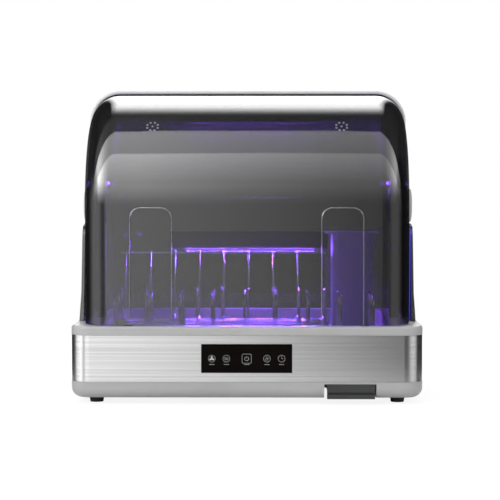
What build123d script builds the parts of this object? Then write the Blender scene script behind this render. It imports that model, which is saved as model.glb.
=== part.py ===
from build123d import *
import math
import os

os.makedirs("parts", exist_ok=True)

# Countertop dish sterilizer cabinet. Millimetres, X is the width, the front faces -Y, Z points up.
# Heights are drawn from a line that is TABLE_DROP above the table; the finished parts are raised
# by that much, so that Z = 0 is the table under the rubber feet.
TABLE_DROP = 4.6

# ---- base ----
BASE_WIDTH = 508.0
BASE_DEPTH = 350.0
BASE_CORNER = 28.0
SKIRT_BOTTOM = 4.4
SKIRT_TOP = 28.0
SKIRT_ROUND = 14.0
BAND_TOP = 95.2
DECK_TOP = 108.0
HALF_WIDTH = BASE_WIDTH / 2
HALF_DEPTH = BASE_DEPTH / 2

# ---- base shells ----
FLOOR = 3.0
CORE_INSET = 1.6
CORE_WALL = 2.4
BAND_INSET = 0.4
BAND_SHEET = 1.0
SEAM = 0.3
CAVITY_HALF_X = HALF_WIDTH - CORE_INSET - CORE_WALL
CAVITY_HALF_Y = HALF_DEPTH - CORE_INSET - CORE_WALL
CAVITY_FLOOR = SKIRT_BOTTOM + FLOOR
CAVITY_ROUND = 11.0
CAVITY_CORNER = BASE_CORNER - 4.0

# ---- deck and its wet basin ----
DECK_PLATE = 2.5
DECK_SKIRT = 3.2
DECK_ROUND = 3.5
BASIN_HALF_X = 212.0
BASIN_HALF_Y = 156.0
BASIN_CORNER = 20.0
BASIN_FLOOR = 80.5
BASIN_WALL = 2.5
BASIN_UNDER = BASIN_FLOOR - DECK_PLATE

# ---- hood: both shells are round about the hinge axis and straight below it ----
PIVOT_Y = -2.0
PIVOT_Z = 279.0
SHELL_WALL = 3.0
COVER_RADIUS = 168.0
COVER_HALF = 236.0
COVER_ROUND = 42.0
COVER_BOTTOM = DECK_TOP + 1.0
SHELL_RADIUS = 174.5
SHELL_HALF = 241.0
SHELL_ROUND = 46.0
COVER_LAP = 29.0
COVER_LOBE = 25.0
SHELL_LOBE = 30.0

# ---- hinge, the same stack on both sides ----
PIN_RADIUS = 4.0
RUNNING_GAP = 0.05
BUSH_RADIUS = 7.0
HEAD_INNER = 215.0
HEAD_OUTER = 231.0
HEAD_RADIUS = 26.0
POST_INNER = 218.0
POST_OUTER = 230.0
POST_HALF_DEPTH = 14.0
CAP_RADIUS = 26.5
CAP_OUTER = 249.5

# ---- side panels ----
EAR_INNER = 243.5
EAR_FLARE = 249.8
EAR_TOP = 252.0

# ---- embossed arches and vent rosettes of the cover ----
ARCH_X = 137.6
ARCH_HALF = 30.0
ARCH_TOP = 278.0
ARCH_DEPTH = 1.0
ARCH_CORNER = 16.0
ROSETTE_ANGLE = 44.0
ROSETTE_RING = 8.2
ROSETTE_HOLE = 1.1
ROSETTE_COUNT = 8

# ---- touch panel ----
PANEL_HALF = 65.0
PANEL_LOW = 41.6
PANEL_HIGH = 82.6
PANEL_CORNER = 1.5
PANEL_STUD_X = 64.0
PANEL_GLASS = 1.5
BOARD_FRONT = -165.9
KEY_X = (-50.0, -29.0, 0.0, 29.0, 50.0)
KEY_Z = 62.0

# ---- drip drawer and its bay ----
BAY_X0 = 111.3
BAY_X1 = 186.0
BAY_BACK = -5.0
BAY_ROOF = 25.2
BAY_WALL = 2.0
DRAWER_X0 = 115.3
DRAWER_X1 = 184.0
DRAWER_Z0 = 3.8
DRAWER_Z1 = 24.4
DRAWER_FRONT = 5.0
GRIP_Z0 = 9.8
GRIP_Z1 = 13.4
GRIP_DEPTH = 3.0
TRAY_X0 = 117.0
TRAY_X1 = 181.0
TRAY_BACK = -22.0
TRAY_WALL = 2.0
TRAY_Z0 = 9.0
FLANGE_Z = 21.0
FLANGE_THICK = 1.5
FLANGE_OUT = 3.5
DRAIN = (150.0, -120.0)

# ---- feet and base screws ----
FOOT_X = 219.0
FOOT_Y = 135.0
FOOT_TIP = 9.5
FOOT_TOP = 11.0
BOSS_X = 200.0
BOSS_Y = 130.0
BOSS_PLACES = tuple((x, y) for x in (-BOSS_X, 0.0, BOSS_X) for y in (-BOSS_Y, BOSS_Y))
BOSS_SPLIT = 60.0
BOSS_RADIUS = 5.5
HEAD_RECESS = 4.2
HEAD_REST = 20.0

# ---- hot-air system ----
BLOWER = (-125.0, 40.0)
BLOWER_RADIUS = 50.0
BLOWER_Z0 = 16.0
BLOWER_Z1 = 56.0
OUTLET_Y0 = 50.0
OUTLET_Y1 = 90.0
GRILLE_HALF = 28.0

# ---- racks ----
RAIL = 2.0
WIRE = 1.5
RAIL_Z = 92.0
BOWL_PITCH = 47.0
BOWL_X0 = -192.0
PLATE_PITCH = 39.6
PLATE_X0 = -198.0
DIVIDERS = 9
HOLDER_X = 161.0
HOLDER_Y = 45.0
HOLDER_TOP = 237.5

# ---- lamp ----
LAMP_Y = 147.0
LAMP_Z = 221.0
LAMP_HALF = 106.0
LAMP_RADIUS = 7.8


def slab(x0, x1, y0, y1, z0, z1):
    """Box between its low and high faces."""
    centre = Pos((x0 + x1) / 2, (y0 + y1) / 2, (z0 + z1) / 2)
    return centre * Box(x1 - x0, y1 - y0, z1 - z0)


def rounded_block(half_x, half_y, corner, z0, z1):
    """Upright block with a rounded rectangular plan, centred on the origin."""
    plan = RectangleRounded(2 * half_x, 2 * half_y, corner)
    return Pos(0, 0, z0) * extrude(plan, z1 - z0)


def rod_x(x0, x1, y, z, radius):
    return Pos((x0 + x1) / 2, y, z) * Rot(0, 90, 0) * Cylinder(radius, abs(x1 - x0))


def rod_y(y0, y1, x, z, radius):
    return Pos(x, (y0 + y1) / 2, z) * Rot(90, 0, 0) * Cylinder(radius, abs(y1 - y0))


def rod_z(z0, z1, x, y, radius):
    return Pos(x, y, (z0 + z1) / 2) * Cylinder(radius, abs(z1 - z0))


def base_ring(inset, z0, z1):
    """Block with the plan of the base, set in by the same amount all round."""
    return rounded_block(HALF_WIDTH - inset, HALF_DEPTH - inset, BASE_CORNER - inset, z0, z1)


def bottom_rounded(block, radius):
    return fillet(block.edges().group_by(Axis.Z)[0], radius)


def top_rounded(block, radius):
    return fillet(block.edges().group_by(Axis.Z)[-1], radius)


def group(solids):
    """Several separate solids kept in one node."""
    return Compound(children=list(solids))


def side_plane():
    """Plane across the width through the hinge axis: local x is +Y, local y is +Z."""
    return Plane(origin=(0, PIVOT_Y, PIVOT_Z), x_dir=(0, 1, 0), z_dir=(1, 0, 0))


def arch(half, radius, side_round, z_bottom):
    """Tunnel-shaped solid of the hood with rounded edges along both sides."""
    drop = PIVOT_Z - z_bottom
    left = Line((-radius, -drop), (-radius, 0))
    top = ThreePointArc((-radius, 0), (0, radius), (radius, 0))
    right = Line((radius, 0), (radius, -drop))
    foot = Line((radius, -drop), (-radius, -drop))
    face = side_plane() * make_face(left + top + right + foot)
    solid = extrude(face, half, both=True)
    rims = [
        edge
        for edge in solid.edges()
        if abs(abs(edge.center().X) - half) < 0.01 and edge.center().Z > z_bottom + 1
    ]
    return fillet(rims, side_round)


def across(outline):
    """Side-view outline, placed at the hinge axis and run across the whole width."""
    return extrude(side_plane() * make_face(outline), BASE_WIDTH, both=True)


def hood_shell(half, radius, side_round, z_bottom):
    outer = arch(half, radius, side_round, z_bottom)
    inner = arch(half - SHELL_WALL, radius - SHELL_WALL, side_round - SHELL_WALL, z_bottom - 10)
    return outer - inner


def screw(x, y, z_head, length, radius, head_radius, head_height):
    """Pan-head screw that points up: its head is below z_head."""
    head = rod_z(z_head - head_height, z_head, x, y, head_radius)
    return head + rod_z(z_head, z_head + length, x, y, radius)


# ------------------------------------------------------------------ base
def drawer_bay():
    """Space under the base that the drip drawer slides in, open to the front and below."""
    return slab(BAY_X0, BAY_X1, -HALF_DEPTH - 1, BAY_BACK, 0, BAY_ROOF)


def rear_intake():
    """Row of upright air slots at the back of the base."""
    return [slab(x, x + 4, HALF_DEPTH - 8, HALF_DEPTH + 1, 44, 78) for x in range(-180, -80, 9)]


def inlet_hole():
    return slab(137, 163, HALF_DEPTH - 8, HALF_DEPTH + 1, 45, 65)


def lower_housing():
    """Bottom tray with the drawer bay, screw bosses and air slots."""
    skirt = bottom_rounded(
        rounded_block(HALF_WIDTH, HALF_DEPTH, BASE_CORNER, SKIRT_BOTTOM, SKIRT_TOP), SKIRT_ROUND
    )
    hollow = rounded_block(CAVITY_HALF_X, CAVITY_HALF_Y, CAVITY_CORNER, CAVITY_FLOOR, SKIRT_TOP + 1)
    cavity = bottom_rounded(hollow, CAVITY_ROUND)
    x0, x1 = BAY_X0 - BAY_WALL, BAY_X1 + BAY_WALL
    bay_walls = slab(x0, x1, -HALF_DEPTH, BAY_BACK + BAY_WALL, SKIRT_BOTTOM, BAY_ROOF + BAY_WALL)
    body = skirt - cavity + (skirt & bay_walls)
    body -= drawer_bay()
    body -= rod_z(BAY_ROOF - 2, BAY_ROOF + 4, DRAIN[0], DRAIN[1], 8)
    for x, y in BOSS_PLACES:
        body += rod_z(CAVITY_FLOOR - 1, BOSS_SPLIT - 0.1, x, y, BOSS_RADIUS)
        body -= rod_z(0, BOSS_SPLIT, x, y, 2.2)
        body -= rod_z(0, HEAD_REST, x, y, HEAD_RECESS)
    for x in (-FOOT_X, FOOT_X):
        for y in (-FOOT_Y, FOOT_Y):
            body += rod_z(CAVITY_FLOOR - 1, 18, x, y, 5)
            body -= rod_z(0, 16, x, y, 2.05)
    for step in range(-3, 4):
        y = BLOWER[1] + 9 * step
        body -= slab(BLOWER[0] - 26, BLOWER[0] + 26, y - 2, y + 2, 0, CAVITY_FLOOR + 1)
    return body


def base_chassis():
    """Inner frame that stands on the tray and backs the steel band."""
    core = base_ring(CORE_INSET, SKIRT_TOP + 0.1, BAND_TOP - SEAM)
    hollow = rounded_block(CAVITY_HALF_X, CAVITY_HALF_Y, CAVITY_CORNER, SKIRT_TOP - 1, BAND_TOP + 1)
    frame = core - hollow
    frame -= slab(-58, 58, -HALF_DEPTH - 1, -HALF_DEPTH + 6, PANEL_LOW + 4, PANEL_HIGH - 4)
    for x in (-PANEL_STUD_X, PANEL_STUD_X):
        for z in (PANEL_LOW + 1.2, PANEL_HIGH - 1.2):
            frame += rod_y(-CAVITY_HALF_Y - 1, BOARD_FRONT - 0.1, x, z, 2.5)
    for slot in rear_intake():
        frame -= slot
    return frame - inlet_hole()


def steel_band():
    outer = base_ring(BAND_INSET, SKIRT_TOP + SEAM, BAND_TOP - SEAM)
    band = outer - base_ring(BAND_INSET + BAND_SHEET, SKIRT_TOP, BAND_TOP)
    half = PANEL_HALF + SEAM
    band -= slab(-half, half, -HALF_DEPTH - 1, -HALF_DEPTH + 6, PANEL_LOW - SEAM, PANEL_HIGH + SEAM)
    for slot in rear_intake():
        band -= slot
    band -= slab(133.5, 166.5, HALF_DEPTH - 8, HALF_DEPTH + 1, 41.5, 68.5)
    return band


def outlet_collar():
    """Low wall around the hot-air outlet, so that drips stay in the basin."""
    return slab(-GRILLE_HALF - 2, GRILLE_HALF + 2, OUTLET_Y0, OUTLET_Y1, BASIN_UNDER, BASIN_FLOOR + 5)


def top_deck():
    rim = top_rounded(base_ring(0, BAND_TOP, DECK_TOP), DECK_ROUND)
    rim -= base_ring(DECK_SKIRT, BAND_TOP - 1, DECK_TOP - DECK_PLATE)
    half_x, half_y = BASIN_HALF_X + BASIN_WALL, BASIN_HALF_Y + BASIN_WALL
    bowl = bottom_rounded(
        rounded_block(half_x, half_y, BASIN_CORNER + BASIN_WALL, BASIN_UNDER, DECK_TOP - 1), 7
    )
    hollow = bottom_rounded(
        rounded_block(BASIN_HALF_X, BASIN_HALF_Y, BASIN_CORNER, BASIN_FLOOR, DECK_TOP + 1), 5
    )
    deck = rim + bowl - hollow
    deck += outlet_collar()
    y0, y1 = OUTLET_Y0 + 2, OUTLET_Y1 - 2
    deck -= slab(-GRILLE_HALF, GRILLE_HALF, y0, y1, BASIN_UNDER - 1, BASIN_FLOOR + 6)
    deck += rod_z(24, BASIN_UNDER + 1, DRAIN[0], DRAIN[1], 7)
    deck -= rod_z(23, BASIN_FLOOR + 1, DRAIN[0], DRAIN[1], 5)
    deck -= rod_z(BASIN_FLOOR - 1, BASIN_FLOOR + 1, DRAIN[0], DRAIN[1], 12.5)
    for x, y in BOSS_PLACES:
        deck += rod_z(BOSS_SPLIT, BASIN_UNDER + 1, x, y, BOSS_RADIUS)
        deck -= rod_z(BOSS_SPLIT - 1, BASIN_UNDER - 3, x, y, 2.0)
    for x, y, radius in cabin_screw_places():
        deck -= rod_z(DECK_TOP - DECK_PLATE - 1, DECK_TOP + 1, x, y, radius + 0.2)
    return deck


def cabin_screw_places():
    """Screws that hold the rear shell, the hinge posts and the side panels, from under the deck."""
    places = []
    for side in (-1, 1):
        places.append((side * 150.0, 165.0, 1.5))
        places.append((side * 232.0, 110.0, 1.5))
        places.append((side * 224.0, PIVOT_Y - 8, 1.5))
        places.append((side * 224.0, PIVOT_Y + 8, 1.5))
        places.append((side * 244.6, -45.0, 1.2))
        places.append((side * 244.6, 45.0, 1.2))
    return places


def cabin_screws():
    under = DECK_TOP - DECK_PLATE
    screws = []
    for x, y, radius in cabin_screw_places():
        screws.append(screw(x, y, under, 12, radius, 2 * radius - 0.3, 2))
    return group(screws)


def housing_screws():
    return group([screw(x, y, HEAD_REST, 52, 1.95, 3.8, 3) for x, y in BOSS_PLACES])


def rubber_feet():
    feet = []
    for x in (-FOOT_X, FOOT_X):
        for y in (-FOOT_Y, FOOT_Y):
            middle = (SKIRT_BOTTOM - TABLE_DROP) / 2
            foot = Pos(x, y, middle) * Cone(FOOT_TIP, FOOT_TOP, SKIRT_BOTTOM + TABLE_DROP)
            foot -= rod_z(-TABLE_DROP - 1, 0, x, y, HEAD_RECESS)
            foot -= rod_z(-1, SKIRT_BOTTOM + 1, x, y, 2.1)
            feet.append(foot)
    return group(feet)


def foot_screws():
    places = [(x, y) for x in (-FOOT_X, FOOT_X) for y in (-FOOT_Y, FOOT_Y)]
    return group([screw(x, y, 0, 12, 1.95, 3.8, 2) for x, y in places])


# ------------------------------------------------------------------ controls and power
def touch_panel():
    plate = slab(-PANEL_HALF, PANEL_HALF, -HALF_DEPTH, -HALF_DEPTH + PANEL_GLASS, PANEL_LOW, PANEL_HIGH)
    return fillet(plate.edges().filter_by(Axis.Y), PANEL_CORNER)


def control_board():
    return slab(-68, 68, BOARD_FRONT, BOARD_FRONT + 1.6, PANEL_LOW - 1.6, PANEL_HIGH + 2.4)


def touch_springs():
    glass_back = -HALF_DEPTH + PANEL_GLASS
    return group([rod_y(glass_back + 0.1, BOARD_FRONT - 0.1, x, KEY_Z, 3.0) for x in KEY_X])


def indicator_lights():
    y1 = BOARD_FRONT - 0.1
    return group([slab(x - 1.5, x + 1.5, y1 - 2, y1, KEY_Z + 7.5, KEY_Z + 10.5) for x in KEY_X])


def power_board():
    board = slab(60, 190, 20, 110, 16, 17.6)
    for x in (66, 184):
        for y in (26, 104):
            board += rod_z(CAVITY_FLOOR, 16.5, x, y, 3)
    return board


def power_board_parts():
    top = 17.7
    return group(
        [
            slab(70, 105, 70, 100, top, 45),
            rod_z(top, 42, 125, 85, 9),
            rod_z(top, 42, 147, 85, 9),
            slab(160, 178, 72, 98, top, 34),
            slab(72, 98, 30, 48, top, 34),
            slab(112, 140, 28, 46, top, 30),
            slab(150, 180, 30, 34, top, 44),
        ]
    )


def uv_ballast():
    box = slab(-182, -92, -122, -80, CAVITY_FLOOR, 38)
    return fillet(box.edges().filter_by(Axis.Z), 4)


def mains_inlet():
    body = slab(138, 162, 152, HALF_DEPTH - 1, 46, 64)
    body += slab(134, 166, HALF_DEPTH - 1.0, HALF_DEPTH, 42, 68)
    socket = slab(142, 158, 160, HALF_DEPTH + 1, 50, 60)
    return body - socket


def inlet_pins():
    return group([rod_y(160, 172, x, 55, 1.2) for x in (146.5, 153.5)])


# ------------------------------------------------------------------ hot air
def blower_housing():
    x, y = BLOWER
    outlet_x = -72.0
    shell = rod_z(BLOWER_Z0, BLOWER_Z1, x, y, BLOWER_RADIUS)
    shell += slab(x, outlet_x, OUTLET_Y0, OUTLET_Y1, BLOWER_Z0, BLOWER_Z1)
    hollow = rod_z(BLOWER_Z0 + 2, BLOWER_Z1 - 2, x, y, BLOWER_RADIUS - 2)
    hollow += slab(x, outlet_x + 1, OUTLET_Y0 + 2, OUTLET_Y1 - 2, BLOWER_Z0 + 2, BLOWER_Z1 - 2)
    shell -= hollow
    shell -= rod_z(BLOWER_Z0 - 1, BLOWER_Z0 + 3, x, y, 30)
    shell -= rod_z(BLOWER_Z1 - 3, BLOWER_Z1 + 1, x, y, 6)
    for corner_x, corner_y in ((-42, -38), (42, -38), (-42, 38)):
        shell += rod_z(CAVITY_FLOOR, BLOWER_Z0 + 2, x + corner_x * 0.8, y + corner_y * 0.8, 4)
    return shell


def blower_rotor():
    x, y = BLOWER
    disc = rod_z(48, 50, x, y, 40)
    hub = rod_z(30, 50, x, y, 8)
    ring = rod_z(22, 24, x, y, 40) - rod_z(21, 25, x, y, 33)
    rotor = disc + hub + ring
    blades = 24
    for index in range(blades):
        blade = Pos(x, y, 0) * Rot(0, 0, index * 360 / blades) * slab(32.5, 39.5, -0.6, 0.6, 23, 49)
        rotor += blade
    return rotor - rod_z(20, 60, x, y, 3)


def motor_shaft():
    return rod_z(30, 70, BLOWER[0], BLOWER[1], 3)


def blower_motor():
    x, y = BLOWER
    body = rod_z(BLOWER_Z1 + 0.1, 74, x, y, 20)
    return body - rod_z(BLOWER_Z1 - 1, 71, x, y, 3 + RUNNING_GAP)


def ptc_frame():
    outer = slab(-71.5, -38.5, OUTLET_Y0, OUTLET_Y1, BLOWER_Z0, BLOWER_Z1)
    return outer - slab(-75, -35, OUTLET_Y0 + 3, OUTLET_Y1 - 3, BLOWER_Z0 + 3, BLOWER_Z1 - 3)


def ptc_fins():
    fins = []
    for index in range(8):
        y = OUTLET_Y0 + 4.0 + 4 * index
        fins.append(slab(-68, -42, y, y + 1.6, BLOWER_Z0 + 3.1, BLOWER_Z1 - 3.1))
    return group(fins)


def air_duct():
    outer = slab(-38.3, GRILLE_HALF + 2, OUTLET_Y0, OUTLET_Y1, 14, BASIN_UNDER - 0.1)
    return outer - slab(-40, GRILLE_HALF, OUTLET_Y0 + 2, OUTLET_Y1 - 2, BLOWER_Z0, BASIN_UNDER + 1)


def outlet_grille():
    """Cap over the outlet: hot air leaves sideways and water runs off."""
    half = GRILLE_HALF + 5
    y0, y1 = OUTLET_Y0 - 4, OUTLET_Y1 + 4
    cap = top_rounded(slab(-half, half, y0, y1, BASIN_FLOOR + 0.1, 89.5), 2.5)
    cap -= slab(-half + 2, half - 2, y0 + 2, y1 - 2, BASIN_FLOOR - 1, 87.5)
    for x in range(-28, 29, 7):
        cap -= slab(x - 1.5, x + 1.5, y0 - 1, y1 + 1, 83, 87)
    for y in range(54, 90, 7):
        cap -= slab(-half - 1, half + 1, y - 1.5, y + 1.5, 83, 87)
    return cap


def drain_strainer():
    x, y = DRAIN
    disc = rod_z(BASIN_FLOOR - 0.9, BASIN_FLOOR + 0.6, x, y, 12)
    for index in range(6):
        spot = Pos(x, y, 0) * Rot(0, 0, 60 * index) * Pos(3.4, 0, BASIN_FLOOR) * Cylinder(1.1, 6)
        disc -= spot
    return disc - rod_z(70, 90, x, y, 1.0)


# ------------------------------------------------------------------ drip drawer
def drip_tray():
    front = -HALF_DEPTH + DRAWER_FRONT
    rim = FLANGE_Z + FLANGE_THICK
    tray = bottom_rounded(slab(TRAY_X0, TRAY_X1, front, TRAY_BACK, TRAY_Z0, rim), 1.8)
    tray += slab(TRAY_X0 - FLANGE_OUT, TRAY_X1 + FLANGE_OUT, front + 4, TRAY_BACK, FLANGE_Z, rim)
    x0, x1 = TRAY_X0 + TRAY_WALL, TRAY_X1 - TRAY_WALL
    return tray - slab(x0, x1, front + TRAY_WALL, TRAY_BACK - TRAY_WALL, TRAY_Z0 + TRAY_WALL, rim + 1)


def drawer_front():
    front = slab(DRAWER_X0, DRAWER_X1, -HALF_DEPTH, -HALF_DEPTH + DRAWER_FRONT, DRAWER_Z0, DRAWER_Z1)
    front = fillet(front.edges().filter_by(Axis.Y), 0.8)
    x0, x1 = DRAWER_X0 + 2.0, DRAWER_X1 - 2.0
    return front - slab(x0, x1, -HALF_DEPTH - 1, -HALF_DEPTH + GRIP_DEPTH, GRIP_Z0, GRIP_Z1)


def drawer_rail(side):
    """L-shaped rail under a flange of the tray; side is -1 for the left one."""
    if side < 0:
        wall, web, shelf = BAY_X0, BAY_X0 + 1.5, BAY_X0 + 4.5
    else:
        wall, web, shelf = BAY_X1, BAY_X1 - 1.1, BAY_X1 - 3.8
    low, high = min(wall, shelf), max(wall, shelf)
    rail = slab(low, high, -158, BAY_BACK - 3, 18.2, FLANGE_Z - 0.4)
    low, high = min(wall, web), max(wall, web)
    return rail + slab(low, high, -158, BAY_BACK - 3, 18.2, BAY_ROOF - 0.5)


# ------------------------------------------------------------------ hood
def rear_shell():
    shell = hood_shell(SHELL_HALF, SHELL_RADIUS, SHELL_ROUND, DECK_TOP)
    mask = Polyline((0, SHELL_LOBE), (0, 190), (190, 190), (190, -200), (-SHELL_LOBE, -200))
    mask += Line((-SHELL_LOBE, -200), (-SHELL_LOBE, 0))
    mask += CenterArc((0, 0), SHELL_LOBE, 180, -90)
    shell = shell & across(mask)
    for side in (-1, 1):
        for x, y in ((side * 150.0, 165.0), (side * 232.0, 110.0)):
            reach = 7.0
            shell += slab(x - reach, x + reach, y - 4.5, y + reach, DECK_TOP, DECK_TOP + 16)
            shell -= rod_z(DECK_TOP - 1, DECK_TOP + 14, x, y, 1.55)
    return shell - rod_x(-260, 260, PIVOT_Y, PIVOT_Z, PIN_RADIUS + RUNNING_GAP)


def rosette(side):
    """Centre hole and ring of holes, drilled square to the curved roof."""
    tilt = ROSETTE_ANGLE
    place = Pos(side * ARCH_X, PIVOT_Y, PIVOT_Z) * Rot(90 - tilt, 0, 0)
    spots = [(0.0, 0.0)]
    for index in range(ROSETTE_COUNT):
        angle = math.radians(360 / ROSETTE_COUNT * (index + 0.5))
        spots.append((ROSETTE_RING * math.cos(angle), ROSETTE_RING * math.sin(angle)))
    return [place * Pos(u, v, COVER_RADIUS) * Cylinder(ROSETTE_HOLE, 14) for u, v in spots]


def arch_recess(side):
    """Shallow arched panel pressed into the straight front of the cover."""
    width = 2 * ARCH_HALF
    height = ARCH_TOP - COVER_BOTTOM + 20
    plan = RectangleRounded(width, height, ARCH_CORNER)
    front = PIVOT_Y - COVER_RADIUS
    middle = (side * ARCH_X, front - 5, ARCH_TOP - height / 2)
    plane = Plane(origin=middle, x_dir=(1, 0, 0), z_dir=(0, 1, 0))
    return extrude(plane * plan, 5 + ARCH_DEPTH)


def front_cover():
    cover = hood_shell(COVER_HALF, COVER_RADIUS, COVER_ROUND, COVER_BOTTOM)
    lobe_end = COVER_LOBE * math.cos(math.radians(45))
    mask = Polyline((-52, -200), (-190, -200), (-190, 190), (COVER_LAP, 190), (COVER_LOBE, 0))
    mask += CenterArc((0, 0), COVER_LOBE, 0, -135)
    mask += Line((-lobe_end, -lobe_end), (-52, -200))
    cover = cover & across(mask)
    cover -= rod_x(-260, 260, PIVOT_Y, PIVOT_Z, BUSH_RADIUS)
    for side in (-1, 1):
        cover -= arch_recess(side)
        for spot in rosette(side):
            cover -= spot
    return cover


def side_panel(side):
    """Fixed ear that stands on the deck beside the hood, flared at its foot."""
    foot_line = Line((EAR_INNER, DECK_TOP), (EAR_FLARE, DECK_TOP))
    flare = Polyline((EAR_FLARE, DECK_TOP), (249.0, 126), (247.6, 149), (247.2, EAR_TOP - 2.5))
    crest = Polyline((247.2, EAR_TOP - 2.5), (246.0, EAR_TOP), (EAR_INNER, EAR_TOP), (EAR_INNER, DECK_TOP))
    plate = extrude(Plane.XZ * make_face(foot_line + flare + crest), 90, both=True)
    drop = PIVOT_Z - DECK_TOP
    top = PIVOT_Z - EAR_TOP
    outline = Polyline((-84, -drop - 1), (84, -drop - 1), (60, -top), (-60, -top), (-84, -drop - 1))
    mask = across(outline)
    mask = fillet([e for e in mask.edges().filter_by(Axis.X) if e.center().Z > 200], 22)
    panel = plate & mask
    foot = slab(242.0, 246.0, -70, 70, DECK_TOP, DECK_TOP + 2)
    panel += foot
    for y in (-45.0, 45.0):
        panel -= rod_z(DECK_TOP - 1, DECK_TOP + 11, 244.6, y, 1.25)
    return panel if side > 0 else mirror(panel, Plane.YZ)


def hinge_post(side):
    """Pillar on the deck with a round head that holds the hinge pin and the small UV light."""
    y0, y1 = PIVOT_Y - POST_HALF_DEPTH, PIVOT_Y + POST_HALF_DEPTH
    pillar = slab(POST_INNER, POST_OUTER, y0, y1, DECK_TOP, PIVOT_Z)
    head = rod_x(HEAD_INNER, HEAD_OUTER, PIVOT_Y, PIVOT_Z, HEAD_RADIUS)
    head = fillet(head.edges().filter_by(GeomType.CIRCLE), 1.5)
    horn = slab(POST_INNER, POST_OUTER - 2, PIVOT_Y - 8, PIVOT_Y + 8, PIVOT_Z, PIVOT_Z + 43)
    post = pillar + head + horn
    post -= rod_x(POST_INNER, 260, PIVOT_Y, PIVOT_Z, PIN_RADIUS + 0.02)
    for y in (PIVOT_Y - 8, PIVOT_Y + 8):
        post -= rod_z(DECK_TOP - 1, DECK_TOP + 12, 224, y, 1.55)
    post -= rod_x(POST_INNER - 1, POST_INNER + 5, PIVOT_Y, PIVOT_Z + 34, 3.1)
    return post if side > 0 else mirror(post, Plane.YZ)


def hinge_pin(side):
    return rod_x(side * (POST_INNER + 0.1), side * 243.2, PIVOT_Y, PIVOT_Z, PIN_RADIUS)


def hinge_bush(side):
    bush = rod_x(231.5, 232.9, PIVOT_Y, PIVOT_Z, 11)
    bush += rod_x(232, 236.2, PIVOT_Y, PIVOT_Z, BUSH_RADIUS - 0.02)
    bush -= rod_x(230, 240, PIVOT_Y, PIVOT_Z, PIN_RADIUS + RUNNING_GAP)
    return bush if side > 0 else mirror(bush, Plane.YZ)


def hinge_washers():
    rings = []
    for side in (-1, 1):
        ring = rod_x(side * 236.5, side * 237.9, PIVOT_Y, PIVOT_Z, 12)
        rings.append(ring - rod_x(side * 235, side * 239, PIVOT_Y, PIVOT_Z, PIN_RADIUS + 0.1))
    return group(rings)


def pivot_cap(side):
    cap = rod_x(SHELL_HALF + 0.1, CAP_OUTER, PIVOT_Y, PIVOT_Z, CAP_RADIUS)
    outer = [e for e in cap.edges().filter_by(GeomType.CIRCLE) if e.center().X > CAP_OUTER - 1]
    cap = fillet(outer, 4.5)
    cap -= rod_x(240, 243.6, PIVOT_Y, PIVOT_Z, PIN_RADIUS + 0.1)
    return cap if side > 0 else mirror(cap, Plane.YZ)


def cover_bumpers():
    y = PIVOT_Y - COVER_RADIUS + 0.6
    low = DECK_TOP + 0.3
    return group([slab(x - 6, x + 6, y, y + 1.8, low, COVER_BOTTOM) for x in (-170, -60, 60, 170)])


def cover_magnet():
    inner = PIVOT_Y - COVER_RADIUS + SHELL_WALL
    return slab(-190, -172, inner, inner + 4, COVER_BOTTOM + 1, COVER_BOTTOM + 7)


def reed_switch():
    return rod_x(-190, -172, -163, 102, 1.6)


# ------------------------------------------------------------------ ultraviolet light
def lamp_housing():
    """Reflector trough on the rear wall; its front apron hides the tube and sends the light down."""
    back = slab(-128, 128, 163, 169.2, LAMP_Z - 16, LAMP_Z + 14)
    roof = slab(-128, 128, 136, 169.2, LAMP_Z + 12, LAMP_Z + 14)
    apron = slab(-128, 128, 136, 138, LAMP_Z - 10, LAMP_Z + 13)
    sill = slab(-128, 128, 152, 169.2, LAMP_Z - 16, LAMP_Z - 14)
    housing = back + roof + apron + sill
    return housing - slab(-120, 120, 159, 165, LAMP_Z - 12, LAMP_Z + 10)


def uv_lamp_tube():
    tube = rod_x(-LAMP_HALF, LAMP_HALF, LAMP_Y, LAMP_Z, LAMP_RADIUS)
    return fillet(tube.edges().filter_by(GeomType.CIRCLE), 2)


def lamp_end_caps():
    caps = []
    for side in (-1, 1):
        cap = rod_x(side * LAMP_HALF, side * (LAMP_HALF + 9), LAMP_Y, LAMP_Z, LAMP_RADIUS + 0.6)
        caps.append(cap)
    return group(caps)


def lamp_holders():
    holders = []
    for side in (-1, 1):
        low, high = sorted((side * (LAMP_HALF + 9.1), side * (LAMP_HALF + 19)))
        holders.append(slab(low, high, LAMP_Y - 9, 162.9, LAMP_Z - 10, LAMP_Z + 10))
    return group(holders)


def lamp_guard():
    """Short wires under the lamp, from the sill of the trough towards its apron."""
    z = LAMP_Z - 15
    bars = [rod_x(-124, 124, 140, z, 1.0)]
    for index in range(11):
        x = -110 + 22 * index
        bars.append(rod_y(141.05, 151.95, x, z, 1.0))
    return group(bars)


def uv_lights():
    lights = []
    for side in (-1, 1):
        stem = rod_x(side * (POST_INNER - 1), side * (POST_INNER + 4.9), PIVOT_Y, PIVOT_Z + 34, 3.0)
        lens = Pos(side * (POST_INNER - 2.5), PIVOT_Y, PIVOT_Z + 34) * Sphere(3.6)
        lights.append(stem + lens)
    return group(lights)


# ------------------------------------------------------------------ racks
def wire_loop(x0, x1, y0, y1, z, corner, radius):
    """Flat closed loop of round wire."""
    plan = RectangleRounded(x1 - x0, y1 - y0, corner)
    path = Pos((x0 + x1) / 2, (y0 + y1) / 2, z) * plan.wire()
    start = path @ 0
    section = Plane(origin=start, z_dir=path % 0) * Circle(radius)
    return sweep(section, path)


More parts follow.
